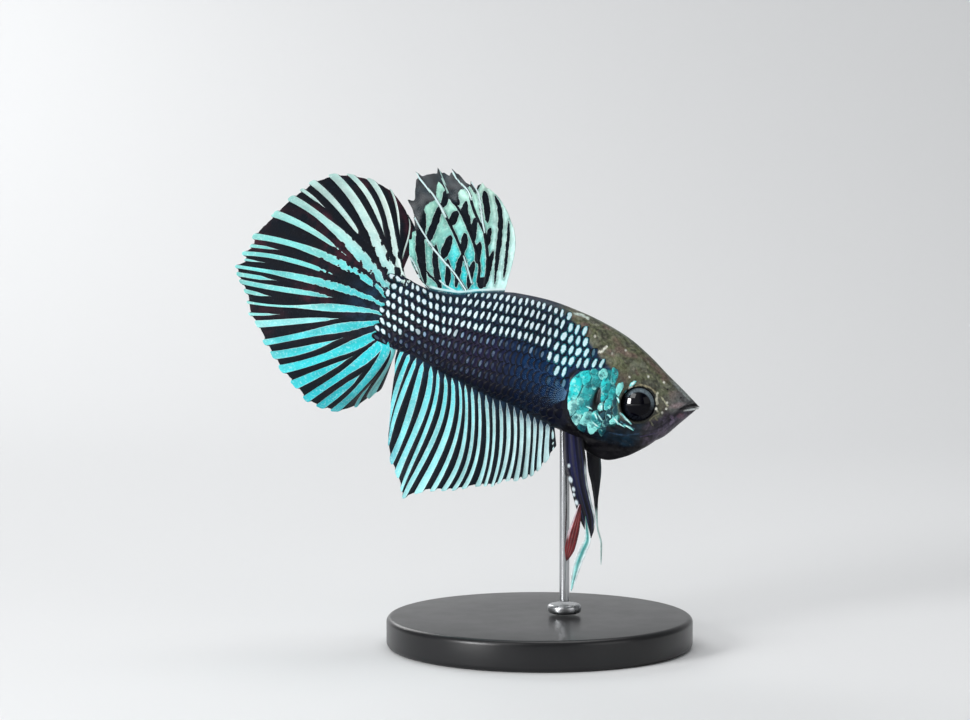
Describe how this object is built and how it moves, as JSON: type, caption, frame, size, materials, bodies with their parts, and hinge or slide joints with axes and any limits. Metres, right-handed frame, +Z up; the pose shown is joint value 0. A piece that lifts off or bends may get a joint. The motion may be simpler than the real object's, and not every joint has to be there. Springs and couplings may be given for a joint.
{
  "type": "betta fish on display stand",
  "caption": "Life-size still model of a short-finned betta swimming nose-down with its fins spread, held over a round base by a slim rod.",
  "frame": {"origin": "on the floor, at the centre of the round base's underside", "axes": "+X towards the fish's nose, +Y towards its left side, +Z up"},
  "size_m": [0.0601, 0.04, 0.0627],
  "materials": {
    "head_skin": "wet olive-grey skin, satin",
    "jaw_skin": "wet grey-purple skin, satin",
    "gill_turquoise": "iridescent turquoise scales with dark edges",
    "membrane_black": "black soft gill membrane",
    "eye": "glossy dark eye with a gold-grey ring",
    "scaled_skin": "navy to purple scales, each upper one with a pale cyan fleck",
    "fin_turquoise": "turquoise membranes between dark brown-black rays",
    "fin_clear": "clear smoky membrane with faint pale rays",
    "pelvic_dark": "dark navy with pale edges and a red prong",
    "stand_black": "satin black",
    "stand_steel": "brushed steel"
  },
  "bodies": {
    "root": {"head": "head_skin", "lower_jaw": "jaw_skin", "gill_cover_right": "gill_turquoise", "gill_cover_left": "gill_turquoise", "gill_membrane": "membrane_black", "eye_right": "eye", "eye_left": "eye", "trunk_front": "scaled_skin", "trunk_rear": "scaled_skin", "tail_stem": "scaled_skin", "dorsal_fin": "fin_turquoise", "caudal_fin": "fin_turquoise", "anal_fin": "fin_turquoise", "pectoral_right": "fin_clear", "pectoral_left": "fin_clear", "pelvic_right": "pelvic_dark", "pelvic_left": "pelvic_dark", "stand_base": "stand_black", "stand_collar": "stand_steel", "stand_rod": "stand_steel"}
  },
  "joints": []
}
